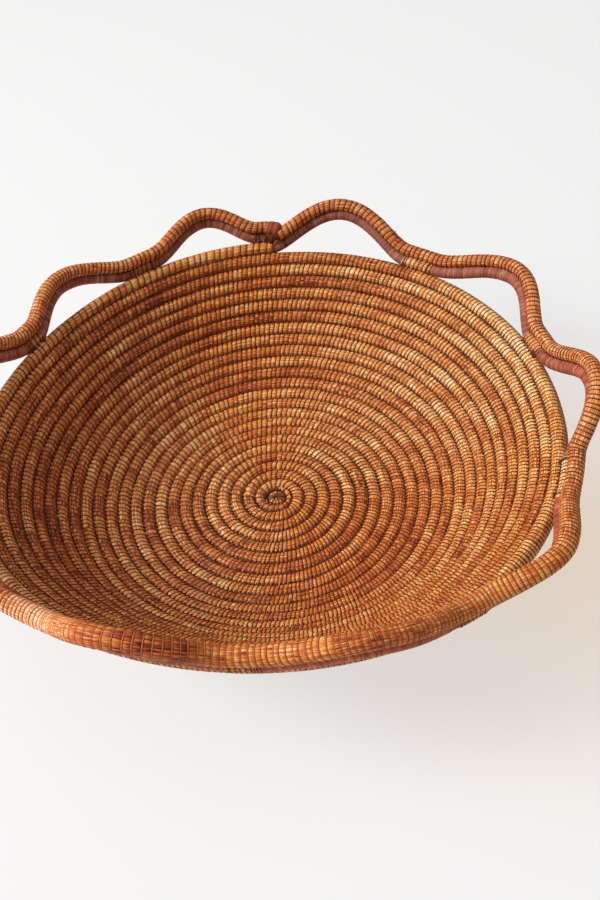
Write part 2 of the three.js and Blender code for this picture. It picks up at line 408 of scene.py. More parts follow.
def makeGrass():
    material, tree, shader = newMaterial("dryGrass")
    along, around = mapAxes(tree, "rowMap")
    tone, covered = mapAxes(tree, "toneMap")
    cellTone = dice(tree, sums(tree, "FLOOR", along))
    # a stem seldom lies unbroken under many stitches, so the streaks shift with the cells
    slip = sums(tree, "MULTIPLY", cellTone, covered, grassLook["slip"])
    stemsAlong = sums(tree, "ADD", sums(tree, "MULTIPLY", along, grassLook["stems"][0]), slip)
    stems = grain(tree, stemsAlong, sums(tree, "MULTIPLY", around, grassLook["stems"][1]), detail=1.0)
    splits = streaks(tree, along, around, grassLook["splits"], 4.0, 1.0)
    hairs = streaks(tree, along, around, grassLook["hairs"], 9.0, 1.0)
    half, fibre, split = (grassLook[kind] / 2 for kind in ("cellSpread", "stemSpread", "splitSpread"))
    mixed = sums(tree, "ADD", tone, remap(tree, cellTone, 0, 1, -half, half),
                 remap(tree, stems, 0.28, 0.72, -fibre, fibre),
                 remap(tree, splits, 0.3, 0.7, -split, split))
    colour = ramp(tree, mixed, grassLook["tones"])
    light = remap(tree, hairs, 0.3, 0.7, *grassLook["hairLight"])
    # painted shade: darker where the thread bites and where the rows meet
    bite = remap(tree, fromEdge(tree, along), *grassLook["bite"], grassLook["threadShade"], 1.0)
    # the seam to the row before is always there, the one to the next row only where a row covers it
    fromMiddle = sums(tree, "ABSOLUTE", sums(tree, "SUBTRACT", around, 0.5))
    lower = remap(tree, fromMiddle, *grassLook["seam"], 1.0, grassLook["seamShade"])
    upper = remap(tree, fromMiddle, *grassLook["nextSeam"], grassLook["seamShade"], 1.0)
    upper = sums(tree, "MULTIPLY", covered, sums(tree, "SUBTRACT", 1.0, upper))
    upper = sums(tree, "SUBTRACT", 1.0, upper)
    colour = shaded(tree, colour, sums(tree, "MULTIPLY", light, bite, lower, upper))
    orange, pink = mapAxes(tree, "warmMap")
    colour = tint(tree, "MULTIPLY", orange, colour, linear(grassLook["orange"]))
    colour = tint(tree, "MULTIPLY", pink, colour, linear(grassLook["pink"]))
    roughness = remap(tree, splits, 0.3, 0.7, *grassLook["roughness"])
    surface(tree, shader, colour, roughness, grassLook["shine"])
    finer = [sums(tree, "MULTIPLY", *pair) for pair in zip((splits, hairs), grassLook["reliefShares"])]
    relief(tree, shader, sums(tree, "ADD", stems, *finer), *grassLook["relief"])
    return material


threadLook = {
    "dark": "38120b",
    "lit": "762f20",
    "pale": "cc7a42",  # the thread's colour under the painted highlight along the lit front
    "twist": 160.0,  # along one stitch
    "fuzz": (40.0, 4.0),  # how often it changes along a stitch and around the thread
    "roughness": 0.62,
    "shine": 0.3,
    "relief": (0.4, 0.15 * mm),
}


def makeSewingThread():
    material, tree, shader = newMaterial("sewingThread")
    along, around = mapAxes(tree, "threadMap")
    highlighted = mapAxes(tree, "fadeMap")[0]
    stitch = dice(tree, sums(tree, "FLOOR", along))
    twist = sums(tree, "MULTIPLY", sums(tree, "FRACT", along), threadLook["twist"])
    twist = sums(tree, "SINE", sums(tree, "ADD", twist, sums(tree, "MULTIPLY", around, 2 * math.pi)))
    fuzz = streaks(tree, along, around, threadLook["fuzz"])
    mixed = sums(tree, "ADD", sums(tree, "MULTIPLY", stitch, 0.5), sums(tree, "MULTIPLY", fuzz, 0.5))
    colour = ramp(tree, mixed, ((0.2, threadLook["dark"]), (0.8, threadLook["lit"])))
    # painted highlight: the thread paler where the front of the outer row is lit
    colour = tint(tree, "MIX", highlighted, colour, linear(threadLook["pale"]))
    surface(tree, shader, colour, threadLook["roughness"], threadLook["shine"])
    relief(tree, shader, sums(tree, "ADD", twist, fuzz), *threadLook["relief"])
    return material


wrapLook = {
    "tones": ((0.0, "431e18"), (0.3, "7e4338"), (0.55, "ab6251"), (0.8, "d48c75"), (1.0, "f0ba9f")),
    # what the single winding, a patch, a group of windings and the fibres add to the tone
    "windSpread": 0.3,
    "patchSpread": 0.4,
    "groupTones": (0.1, 0.42),
    "fibreTones": (-0.14, 0.2),
    # painted shade in the creases between windings: how dark it gets, and how far into a winding it
    # reaches
    "groove": 0.35,
    "grooveReach": 0.25,
    "paintedShade": 0.25,  # what is left of the tone in full painted shade
    "rust": "ffc49a",
    # how often they change along a winding and around the rod
    "patches": (0.1, 2.0),
    "fibres": (3.0, 14.0),
    "groups": (0.38, 1.0),
    "roughness": (0.42, 0.9),  # without painted shade and in full painted shade
    "shine": 0.3,
    "relief": (0.5, 0.15 * mm),
}


def makeWrapThread():
    material, tree, shader = newMaterial("wrapThread")
    along, around = mapAxes(tree, "threadMap")
    wind = dice(tree, sums(tree, "FLOOR", along))
    patch = streaks(tree, along, around, wrapLook["patches"])
    fibres = streaks(tree, along, around, wrapLook["fibres"], detail=3.0)
    group = streaks(tree, along, around, wrapLook["groups"], 6.0)
    mixed = sums(tree, "ADD", sums(tree, "MULTIPLY", wind, wrapLook["windSpread"]),
                 sums(tree, "MULTIPLY", patch, wrapLook["patchSpread"]),
                 remap(tree, group, 0.3, 0.7, *wrapLook["groupTones"]),
                 remap(tree, fibres, 0.3, 0.7, *wrapLook["fibreTones"]))
    colour = ramp(tree, mixed, wrapLook["tones"])
    # painted shade in the creases between windings
    edge = fromEdge(tree, along)
    colour = shaded(tree, colour, remap(tree, edge, 0.0, wrapLook["grooveReach"], wrapLook["groove"], 1.0))
    paintedShade, rust = mapAxes(tree, "sootMap")
    colour = tint(tree, "MULTIPLY", rust, colour, linear(wrapLook["rust"]))
    # painted shade, deeper on the loops at the back and the left, and full on the wound stretch under the
    # tie-off
    colour = shaded(tree, colour, remap(tree, paintedShade, 0.0, 1.0, 1.0, wrapLook["paintedShade"]))
    surface(tree, shader, colour, remap(tree, paintedShade, 0.0, 1.0, *wrapLook["roughness"]), wrapLook["shine"])
    relief(tree, shader, fibres, *wrapLook["relief"])
    return material


grassMaterial = makeGrass()
sewingMaterial = makeSewingThread()
wrapMaterial = makeWrapThread()
print("materials made")

grassRow = {
    "halfWidth": 4.85 * mm,
    "halfThickness": 5.0 * mm,
    "square": 2.15,  # 2 is an ellipse, more is boxier
    # one stitch to the next: the middle value, and how much it swings to the back and to the right
    "cell": (3.4 * mm, 0.5 * mm, -0.4 * mm),
    "lastWider": 1.5 * mm,  # by this much on the straw stretch before the tie-off
    "lastFrom": (0.2, 0.06),  # turns before the end that it starts, and turns to its full
    "jitter": 0.12,
    "pinch": 0.075,
    "puff": 0.035,
    "fullness": 0.6,  # lower is a fuller cell
    "lump": (0.016, 90),  # unevenness of the bundle, and how fast it winds round
    "lean": 0.19,  # the stitches slope this much across the row
    "around": 24,
    "fractions": (0.0, 0.18, 0.5, 0.82),
    "samples": 900,  # points on which a row's length is measured
}

sewing = {
    "radius": 0.41 * mm,
    "sides": 5,
    "proud": 0.2 * mm,
    "footReach": 1.3 * mm,  # how far a stitch bites into the row before
    "footHeight": 3.9 * mm,
    # points of a foot: share of the reach, distance beyond it, share of the height
    "foot": ((1, 0.6 * mm, 0.6), (1, 0, 0.98), (0.1, 0, 0.95)),
    "angles": (118, 92, 66, 40, 13, -13, -40, -66, -92, -118),  # its way round the row, degrees
    "slip": 0.14 * mm,
    "step": 0.0004,  # how far ahead a row's direction is read, in turns
    "clear": 0.6,  # least height over the ground, in radii
}

cellCount = 0
stitchCount = 0

rowDrift = {
    "mean": 0.47,
    "byRow": 0.15,
    "slow": (0.05, 41.7, 2.2),  # waves along the coil: height, how often, shift
    "quick": (0.05, 149.0, 1.0),
    "side": 0.1,  # paler on the right, redder and darker on the left: partly the walls' own colour, partly painted light on the lit right wall and painted shade on the left
    # stretches with a tone of their own: middle and half length in turns, tone
    "stretches": ((23.05, 0.06, 0.4), (22.07, 0.07, 0.66), (21.05, 0.065, 0.34), (20.05, 0.07, 0.5),
                  (23.2, 0.07, 0.72), (22.22, 0.07, 0.76), (21.25, 0.1, 0.64), (20.2, 0.06, 0.66),
                  (19.22, 0.08, 0.52), (18.2, 0.06, 0.6), (23.36, 0.07, 0.66), (22.4, 0.06, 0.6),
                  (21.4, 0.06, 0.48), (23.95, 0.05, 0.64), (23.84, 0.05, 0.52), (22.9, 0.06, 0.38),
                  (24.305, 0.02, 0.8), (23.72, 0.06, 0.42), (21.88, 0.06, 0.3), (23.6, 0.05, 0.62),
                  (22.62, 0.05, 0.36)),
    # place around the bowl in turns and how orange: more so at the back and at the lower right
    "orange": ((0, 0.7), (0.06, 0.45), (0.12, 0.1), (0.2, 0.1), (0.27, 0.9), (0.42, 0.9), (0.6, 0),
               (0.88, 0), (0.94, 0.9), (1, 0.9)),
    "pink": 0.1,
}
rowDice = chance.uniform(-1, 1, 3 * (rounds + 4))


def rowTone(turns):
    # slow drift of the bundle's colour along the coil
    tone = rowDrift["mean"] + rowDrift["byRow"] * np.interp(turns * 3, np.arange(len(rowDice)), rowDice)
    # paler on the lit right wall, darker on the shaded left: partly painted light and shade
    tone = tone + rowDrift["side"] * np.sin(2 * np.pi * turns) * np.clip(turns / rounds, 0, 1)
    for middle, half, own in rowDrift["stretches"]:
        tone = tone + (own - tone) * np.exp(-((turns - middle) / half) ** 4)
    for height, often, shift in (rowDrift["slow"], rowDrift["quick"]):
        tone = tone + height * np.sin(turns * often + shift)
    return tone


def rowWarmth(turns):
    return readAt(rowDrift["orange"], turns % 1), rowDrift["pink"] + 0 * turns


def rimTone(turns):
    return rowTone(turns + rounds)


outerDrift = {
    "mean": 0.46,  # orange-brown
    "follows": 0.4,  # how much of the other rows' drift it takes up
    # paler or redder stretches: middle, half length in turns, change of tone. The pale ones at 0.5 and 0.6
    # along the front are partly the row's own colour and partly painted highlight on its lit top
    "stretches": ((0.6, 0.03, 0.46), (0.542, 0.016, -0.18), (0.5, 0.03, 0.2), (0.4, 0.03, 0.06),
                  (0.45, 0.015, -0.06), (0.36, 0.06, 0.14), (0.2, 0.03, 0.14), (0.25, 0.04, 0.12),
                  (0.8, 0.08, 0.16), (0.9, 0.04, 0.06)),
    # place in turns and share: orange at the front right, pink at the front left, the pink partly painted
    # highlight where the front left is lit
    "orange": ((0.28, 0), (0.36, 0.8), (0.54, 0.8), (0.57, 0)),
    "pink": ((0, 0.4), (0.1, 0.4), (0.2, 0.6), (0.3, 0.6), (0.36, 0.3), (0.55, 0.3), (0.575, 1),
             (0.63, 1), (0.68, 0.7), (1, 0.6)),
    # the row's thread is paler along the front: painted highlight where the top of the row is lit
    "highlight": ((0.34, 0), (0.4, 0.3), (0.5, 0.45), (0.54, 0.62), (0.63, 0.6), (0.68, 0)),
}


def outerWarmth(turns):
    return readAt(outerDrift["orange"], turns), readAt(outerDrift["pink"], turns)


def outerTone(turns):
    tone = outerDrift["mean"] + outerDrift["follows"] * (rowTone(turns + rounds + 1) - 0.5)
    for middle, half, more in outerDrift["stretches"]:
        tone = tone + more * np.exp(-((turns - middle) / half) ** 2)
    return tone


def cellAt(turns):
    middle, back, right = grassRow["cell"]
    before, over = grassRow["lastFrom"]
    wider = grassRow["lastWider"] * np.clip((turns - rounds + before) / over, 0, 1)
    return middle + back * np.cos(2 * np.pi * turns) + right * np.sin(2 * np.pi * turns) + wider


def layRow(station, start, end, spacing):
    # marks one spacing apart along a stretch of the coil, a little uneven
    turns = np.linspace(start, end, grassRow["samples"])
    centre = station(turns)[0]
    steps = np.linalg.norm(np.diff(centre, axis=0), axis=1)
    length = np.concatenate([[0], np.cumsum(steps)])
    space = spacing(turns)
    cells = np.concatenate([[0], np.cumsum(2 * steps / (space[1:] + space[:-1]))])
    count = max(3, int(round(cells[-1])))
    places = np.linspace(0, cells[-1], count + 1)
    places[1:-1] += chance.uniform(-1, 1, count - 1) * grassRow["jitter"]
    return turns, length, np.interp(places, cells, length), unit(np.gradient(centre, axis=0))


def spotsBetween(marks, fractions):
    return np.append((marks[:-1, None] + np.diff(marks)[:, None] * fractions).ravel(), marks[-1])


def numbered(count, fractions):
    # places on a piece's map, counted on from the piece before, so no pattern comes twice
    global cellCount
    places = np.concatenate([(np.arange(count)[:, None] + fractions).ravel(), [count]]) + cellCount
    cellCount += count + 1
    return places


def ringAngles(around):
    return 2 * np.pi * np.arange(around) / around - np.pi


def sectionShape(halfWidth, halfThickness, angles):
    c, s = np.cos(angles), np.sin(angles)
    power = 2 / grassRow["square"]
    return np.sign(c) * np.abs(c) ** power * halfWidth, np.sign(s) * np.abs(s) ** power * halfThickness


def placed(stations, along, x, y, slip):
    # points at x and y in each station's section, shifted along the row by the slip
    centre, across, through = stations
    points = centre[:, None] + across[:, None] * x[..., None] + through[:, None] * y[..., None]
    return points + along[:, None] * slip[..., None]


def wayAt(spot, length, along):
    return unit(np.stack([np.interp(spot, length, along[:, i]) for i in range(3)], -1))


def grassPiece(name, station, start, end, widthAt=None, scale=(1.0, 1.0), tone=rowTone, covered=1.0,
               spacing=cellAt, thickness=None, warmth=None):
    turns, length, marks, along = layRow(station, start, end, spacing)
    count = len(marks) - 1
    fractions = np.array(grassRow["fractions"])
    spot = spotsBetween(marks, fractions)
    swell = np.sin(np.pi * fractions) ** grassRow["fullness"]
    bulge = chance.uniform(0.5, 1.5, (count, 1)) * grassRow["puff"]
    size = (1 - grassRow["pinch"] + swell * (grassRow["pinch"] + bulge)).ravel()
    size = np.append(size, 1 - grassRow["pinch"])
    ringTurns = np.interp(spot, length, turns)
    if thickness is not None:
        size = size * thickness(ringTurns)
    x, y = sectionShape(grassRow["halfWidth"] * scale[0], grassRow["halfThickness"] * scale[1],
                        ringAngles(grassRow["around"]))
    share, often = grassRow["lump"]
    lump = 1 + share * np.sin(2 * np.arctan2(y, x) + ringTurns[:, None] * often)
    x = x * size[:, None] * lump
    y = y * size[:, None] * lump
    if widthAt is not None:
        width = widthAt(ringTurns)
        x = x * width[:, None] + (grassRow["halfWidth"] * (1 - width))[:, None]
    rings = placed(station(ringTurns), wayAt(spot, length, along), x, y, grassRow["lean"] * x)
    rings[..., 2] = np.maximum(rings[..., 2], 0)
    maps = {
        "rowMap": (numbered(count, fractions)[None], None),
        "toneMap": (tone(ringTurns)[None], np.full((1, len(spot)), covered)),
    }
    if warmth is not None:
        maps["warmMap"] = tuple(share[None] for share in warmth(ringTurns))
    made = tubePiece(name, rings[None], maps, grassMaterial)
    return made, np.interp(marks, length, turns)


def stitchPiece(name, station, turnsAt, foot=None, widthAt=None, scale=(1.0, 1.0), radius=None, highlight=None,
                thickness=None, rise=None):
    # one thread loop round the row for every mark, its two ends bitten into the row before
    stations = station(turnsAt)
    along = unit(station(turnsAt + sewing["step"])[0] - stations[0])
    width = np.ones(len(turnsAt)) if widthAt is None else widthAt(turnsAt)
    x, y = sectionShape(grassRow["halfWidth"] * scale[0] * (1 - grassRow["pinch"]) + sewing["proud"],
                        grassRow["halfThickness"] * scale[1] * (1 - grassRow["pinch"]) + sewing["proud"],
                        np.radians(sewing["angles"]))
    x = x[None] * width[:, None] + (grassRow["halfWidth"] * (1 - width))[:, None]
    y = np.repeat(y[None], len(turnsAt), 0)
    if thickness is not None:
        x, y = x * thickness(turnsAt)[:, None], y * thickness(turnsAt)[:, None]
    reach = (foot or sewing["footReach"]) * chance.uniform(0.75, 1.25, (len(turnsAt), 1))
    edge = (grassRow["halfWidth"] * (1 - 2 * width))[:, None]
    rise = (rise or sewing["footHeight"]) * scale[1]
    feet = [edge - reach * share - beyond for share, beyond, height in sewing["foot"]]
    heights = np.repeat([[rise * height for share, beyond, height in sewing["foot"]]], len(x), 0)
    x = np.concatenate(feet + [x] + feet[::-1], 1)
    y = np.concatenate([heights, y, -heights[:, ::-1]], 1)
    slip = grassRow["lean"] * x + chance.normal(0, sewing["slip"], (len(x), 1))
    path = placed(stations, along, x, y, slip)
    threadPiece(name, path, along, radius or sewing["radius"], highlight)


def threadRings(path, tangent, beside, radius, sides):
    out = np.cross(tangent, beside)
    turn = 2 * np.pi * np.arange(sides) / sides
    rim = np.cos(turn)[:, None] * beside[:, :, None] + np.sin(turn)[:, None] * out[:, :, None]
    return path[:, :, None] + radius * rim


def threadPiece(name, path, side, radius, highlight=None):
    global stitchCount
    path = path.copy()
    path[..., 2] = np.maximum(path[..., 2], radius * sewing["clear"])
    tangent = unit(np.gradient(path, axis=1))
    rings = threadRings(path, tangent, squared(tangent, side[:, None]), radius, sewing["sides"])
    count = len(path)
    # the ends stay inside the stitch's own number
    along = np.linspace(0.01, 0.99, path.shape[1])[None] + stitchCount + np.arange(count)[:, None]
    stitchCount += count
    highlighted = np.repeat((np.zeros(count) if highlight is None else highlight)[:, None], path.shape[1], 1)
    maps = {"threadMap": (along, None), "fadeMap": (highlighted, highlighted)}
    made = tubePiece(name, rings, maps, sewingMaterial)


# bowl, turn by turn
bowlRows = {
    "thin": 1.5 / 8.5,  # width of the coil's very start, as a share
    "overrun": 0.0022,  # the last turn runs on under the first wrap, in turns
    "lastCovered": 0.35,  # how dark the painted shade in the last turn's upper seam is
}


def firstWidth(turns):
    return bowlRows["thin"] + (1 - bowlRows["thin"]) * np.clip(turns, 0, 1)


def roundName(number):
    for part in ("base", "heel", "wall"):
        if number <= coilPath[part + "Rounds"]:
            return "%s_round_%02d" % (part, number)
        number -= coilPath[part + "Rounds"]


for number in range(1, rounds + 1):
    node = roundName(number)
    widthAt = firstWidth if number == 1 else None
    end = number + (bowlRows["overrun"] if number == rounds else 0)
    covered = bowlRows["lastCovered"] if number == rounds else 1.0
    made, marks = grassPiece(node + "_coil", bowlStation, number - 1, end, widthAt, covered=covered,
                             warmth=rowWarmth)
    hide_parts(node)
    stitchPiece(node + "_stitches", bowlStation, marks[:-1], widthAt=widthAt)
print("bowl coiled:", cellCount, "cells")

# middle of the base
button = {
    "radius": 7.2 * mm,
    "height": 8.2 * mm,
    "around": 28,
    "spokes": 9,
    "dents": 0.03,
    # outline from the bottom up: share of the height, share of the radius
    "outline": ((0, 0.6), (0, 0.96), (0.3, 1), (0.6, 0.98), (0.82, 0.86), (0.94, 0.62), (0.99, 0.34),
                (1, 0.1)),
    # the threads from the middle over the edge, in the same shares
    "thread": ((1, 0.04), (1, 0.34), (0.95, 0.62), (0.83, 0.86), (0.6, 0.98), (0.3, 1)),
    "proud": 0.1 * mm,
    "jitter": 0.2,
    "tone": 0.5,
    "covered": 0.9,
}


def makeButton():
    rings = []
    spokes = button["spokes"]
    turn = 2 * np.pi * np.arange(button["around"]) / button["around"]
    for level, share in button["outline"]:
        radius = button["radius"] * share * (1 + button["dents"] * np.sin(turn * spokes))
        height = 0 * turn + level * button["height"]
        rings.append(np.stack([radius * np.cos(turn), radius * np.sin(turn), height], -1))
    alongMap = np.linspace(0, 2.5, len(rings))[None] + cellCount
    flat = 0 * alongMap
    maps = {"rowMap": (alongMap, None), "toneMap": (flat + button["tone"], flat + button["covered"])}
    made = tubePiece("base_button_knot", np.array(rings)[None], maps, grassMaterial)
    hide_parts("base_button")
    jitter = chance.uniform(-button["jitter"], button["jitter"], spokes)
    azimuth = 2 * np.pi * (np.arange(spokes) + jitter) / spokes
    path = []
    for level, share in button["thread"]:
        height = 0 * azimuth + level * button["height"] + button["proud"]
        reach = button["radius"] * share
        path.append(np.stack([np.cos(azimuth) * reach, np.sin(azimuth) * reach, height], -1))
    side = np.stack([-np.sin(azimuth), np.cos(azimuth), 0 * azimuth], -1)
    threadPiece("base_button_stitches", np.stack(path, 1), side, sewing["radius"])


makeButton()

# scalloped rim
wrappedRod = {
    "radius": 4.4 * mm,
    "wind": 0.85 * mm,
    "ridge": 0.15 * mm,
    "ridges": (0.4, 1.3),  # least and most of it
    "waver": 0.12 * mm,  # slow swelling of the bundle under the thread
    "wavers": 12,  # places that it changes at
    "lean": 0.13,
    "around": 20,
    "fractions": (0.0, 0.25, 0.5, 0.75),
    # how much painted shade each loop's thread gets, deeper at the back and the left where less light
    # falls, and how rusty
    "paintedShades": (0.56, 0.38, 0.3, 0.15, 0.15, 0.15, 0.15, 0.4, 0.45, 0.52),
    "rusts": (0.3, 0.45, 0.55, 0.8, 1, 1, 1, 0.6, 0.4, 0.4),
    "collarWinds": 5,
    "collar": 0.4 * mm,
    "overrun": 0.0012,  # how far the wrap of a loop runs on at both ends, in turns
    "lastEnd": 1.0005,
}


def wrappedPiece(name, station, start, end, radius=None, rounded=False, paintedShade=0.0, rust=1.0):
    radius = radius or wrappedRod["radius"]
    turns, length, marks, along = layRow(station, start, end, lambda turns: wrappedRod["wind"] + 0 * turns)
    count = len(marks) - 1
    fractions = np.array(wrappedRod["fractions"])
    spot = spotsBetween(marks, fractions)
    ridge = np.append(np.tile(np.sin(np.pi * fractions) ** 0.7, count), 0)
    lift = np.append(np.repeat(chance.uniform(*wrappedRod["ridges"], count), len(fractions)), 1)
    fromEnd = np.minimum(np.arange(len(spot)), len(spot) - 1 - np.arange(len(spot))) / len(fractions)
    collar = np.clip(1 - fromEnd / wrappedRod["collarWinds"], 0, 1) ** 0.5 * wrappedRod["collar"]
    if rounded:
        collar = radius * (np.clip(1 - np.abs(2 * spot / length[-1] - 1) ** 3, 0.05, 1) ** 0.5 - 1)
    places = np.linspace(0, length[-1], wrappedRod["wavers"])
    waver = np.interp(spot, places, chance.uniform(-1, 1, len(places))) * wrappedRod["waver"]
    size = radius + ridge * lift * wrappedRod["ridge"] + waver + collar
    angle = ringAngles(wrappedRod["around"])
    x = np.cos(angle)[None] * size[:, None]
    y = np.sin(angle)[None] * size[:, None]
    stations = station(np.interp(spot, length, turns))
    rings = placed(stations, wayAt(spot, length, along), x, y, wrappedRod["lean"] * x)
    alongMap = numbered(count, fractions)[None]
    flat = 0 * alongMap
    maps = {"threadMap": (alongMap, None), "sootMap": (flat + paintedShade, flat + rust)}
    made = tubePiece(name, rings[None], maps, wrapMaterial)
    return made


lashing = {
    "inset": 0.0004,  # in turns, like the next three
    "apart": 0.0011,
    "jitter": 0.0004,
    "underlap": 0.0006,  # how far a seat's row runs on under the wraps beside it
    "count": 3,
    "foot": 3.6 * mm,
    "radius": 0.5 * mm,
}
loopEnds = [start + span for start, span in zip(rimPath["starts"], rimPath["spans"])]
seatEnds = rimPath["starts"][1:] + (1.0,)
for i, (start, end) in enumerate(zip(rimPath["starts"], loopEnds)):
    overrun, paintedShade, rust = wrappedRod["overrun"], wrappedRod["paintedShades"][i], wrappedRod["rusts"][i]
    node = "scallop_loop_%02d" % (i + 1)
    made = wrappedPiece(node + "_wrapped", innerStation, start - overrun, end + overrun,
                        paintedShade=paintedShade, rust=rust)
    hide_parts(node)
    node = "scallop_seat_%02d" % (i + 1)
    if seatEnds[i] == 1:
        # the wrap of the last loop runs on to the coil's end
        made = wrappedPiece(node + "_wrapped", innerStation, end, wrappedRod["lastEnd"],
                            paintedShade=paintedShade, rust=rust)
        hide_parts(node)
    else:
        made, marks = grassPiece(node + "_coil", seatStation, end - lashing["underlap"],
                                 seatEnds[i] + lashing["underlap"], tone=rimTone)
        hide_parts(node)
        stitchPiece(node + "_stitches", seatStation, marks[1:-1])
    # lashings that hold the row down on the wall at both ends of the seat
    spots = [lashing["inset"] + k * lashing["apart"] for k in range(lashing["count"])]
    places = np.array([end + spot for spot in spots] + [seatEnds[i] - spot for spot in spots])
    places = places + chance.uniform(-1, 1, len(places)) * lashing["jitter"]
    stitchPiece(node + "_lashing", seatStation, np.clip(places, 0, 0.9995), lashing["foot"],
                radius=lashing["radius"])

outerRow = {
    "scale": (0.9, 0.94),
    # place in turns and one stitch to the next there, in mm
    "spacing": ((0, 4.4), (0.1, 4.0), (0.18, 3.3), (0.27, 3.0), (0.42, 2.9), (0.5, 3.6), (0.53, 4.6),
                (0.565, 4.6), (0.58, 2.7), (0.8, 2.7), (0.87, 2.9), (0.93, 4.3), (1, 4.4)),
    "start": 0.0078,
    "end": 0.9993,
    "foot": 0.5 * mm,
    "footHeight": 2.3 * mm,
    # the wound stretch before the start
    "windFrom": 0.0002,
    "windOverlap": 0.0008,
    "windRadius": 3.7 * mm,
    # its thread darkened in full: painted shadow under the tie-off lump
    "windPaintedShade": 1.0,
}


def outerSpacing(turns):
    return readAt(outerRow["spacing"], turns) * mm


seatMiddles = [(end + nextStart) / 2 for end, nextStart in zip(loopEnds, rimPath["starts"][1:])]
outerBounds = [outerRow["start"]] + seatMiddles + [outerRow["end"]]
for i in range(len(outerBounds) - 1):
    node = "scallop_outer_%02d" % (i + 1)
    made, marks = grassPiece(node + "_coil", outerStation, outerBounds[i], outerBounds[i + 1],
                             scale=outerRow["scale"], tone=outerTone, covered=0.0, spacing=outerSpacing,
                             thickness=outerThickness, warmth=outerWarmth)
    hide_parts(node)
    stitchPiece(node + "_stitches", outerStation, marks[:-1], outerRow["foot"], scale=outerRow["scale"],
                highlight=readAt(outerDrift["highlight"], marks[:-1]), thickness=outerThickness,
                rise=outerRow["footHeight"])
# where the inner row comes up to become the outer one, it is still wound; its thread is darkened in full,
# painted shadow under the tie-off lump
windEnd = outerRow["start"] + outerRow["windOverlap"]
wrappedPiece("scallop_outer_01_wound", outerStation, outerRow["windFrom"], windEnd,
             outerRow["windRadius"], paintedShade=outerRow["windPaintedShade"])
print("rim laid")

# tie-off: the outer row ends in a wound lump that runs down on to its own start
tieOff = {
    "from": 0.997,
    "to": 0.0112,
    "drop": 0.8,  # share of a row it comes down by
    "radius": 5.7 * mm,
    "across": math.radians(80),  # tilt of the side that faces out
    # the lump's darker thread, with painted shade at the back where it is tucked in under the rows
    "paintedShade": 0.5,
}


def lumpStation(turns):
    share = np.clip(turns, 0, 1)[..., None]
    ends = outerStation(np.array([tieOff["from"], tieOff["to"], 0.0, 1.0]))[0]
    high = ends[1] + (ends[3] - ends[2]) * (1 - tieOff["drop"])
    centre = ends[0] * (1 - share) + high * share
    along = unit(high - ends[0])
    across = squared(along, rising(0.0, tieOff["across"])) + 0 * centre
    return centre, across, np.cross(along + 0 * centre, across)


made = wrappedPiece("tie_off_knot_wound", lumpStation, 0.0, 1.0, tieOff["radius"], True, tieOff["paintedShade"])
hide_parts("tie_off_knot")
print("tie-off wound")

# loose stems where a new bundle was spliced in or the thread ends
looseStems = {
    # station, place in turns, side of the row in degrees, how many, length, tone
    "tufts": ((innerStation, 0.9975, 60, 10, 5 * mm, 0.44), (innerStation, 0.9945, 90, 4, 6 * mm, 0.5),
              (innerStation, 0.9885, 50, 7, 4 * mm, 0.7), (outerStation, 0.005, 130, 8, 4 * mm, 0.42),
              (outerStation, 0.0775, 40, 3, 4 * mm, 0.2), (innerStation, 0.9065, 110, 6, 7 * mm, 0.4),
              (outerStation, 0.883, 60, 4, 6 * mm, 0.45), (innerStation, 0.207, 150, 4, 5 * mm, 0.3),
              (innerStation, 0.299, 150, 4, 5 * mm, 0.35), (outerStation, 0.622, 50, 4, 6 * mm, 0.15),
              (innerStation, 0.824, 120, 4, 5 * mm, 0.4)),
    "radius": 0.5 * mm,
    "taper": (1.1, 0.55),
    "points": 6,
    "sides": 5,
    "scatter": 0.0011,  # along the row, in turns
    "step": 0.001,
    "spread": 1.6,
    "depth": 4.0 * mm,  # from the row's middle to where a stem comes out
    "reaches": (0.6, 1.1),
    "hidden": 0.25,  # share of a stem that stays in the row
    "bends": (-0.1, 0.3),
    "toneSpread": 0.12,
}


def makeLooseStems():
    paths, tones = [], []
    share = np.linspace(0, 1, looseStems["points"])[:, None]
    for station, place, side, count, length, tone in looseStems["tufts"]:
        for k in range(count):
            at = place + chance.uniform(-1, 1) * looseStems["scatter"]
            centre, across, through = station(np.array([at]))
            ahead = unit(station(np.array([at + looseStems["step"]]))[0] - centre)[0]
            angle = math.radians(side) + chance.uniform(-0.5, 0.5)
            out = across[0] * math.cos(angle) + through[0] * math.sin(angle)
            way = unit(ahead * chance.choice([-1, 1]) + out * chance.uniform(0.4, looseStems["spread"])
                       + chance.normal(0, 0.12, 3))
            reach = length * chance.uniform(*looseStems["reaches"])
            bend = (out - ahead * 0.3) * reach * chance.uniform(*looseStems["bends"])
            path = way * reach * (share - looseStems["hidden"]) + bend * share**2
            paths.append(centre[0] + out * looseStems["depth"] + path)
            tones.append(tone + chance.uniform(-1, 1) * looseStems["toneSpread"])
    path = np.array(paths)
    tangent = unit(np.gradient(path, axis=1))
    beside = unit(np.cross(tangent, np.array([0.2, 0.3, 0.9])))
    thin = looseStems["radius"] * np.linspace(*looseStems["taper"], len(share))[None, :, None, None]
    rings = threadRings(path, tangent, beside, thin, looseStems["sides"])
    along = np.linspace(0.3, 0.7, len(share))[None] + cellCount + np.arange(len(path))[:, None]
    tone = np.repeat(np.array(tones)[:, None], len(share), 1)
    maps = {"rowMap": (along, None), "toneMap": (tone, tone * 0 + 1)}
    made = tubePiece("loose_stems", rings, maps, grassMaterial)


makeLooseStems()
print("loose stems set")

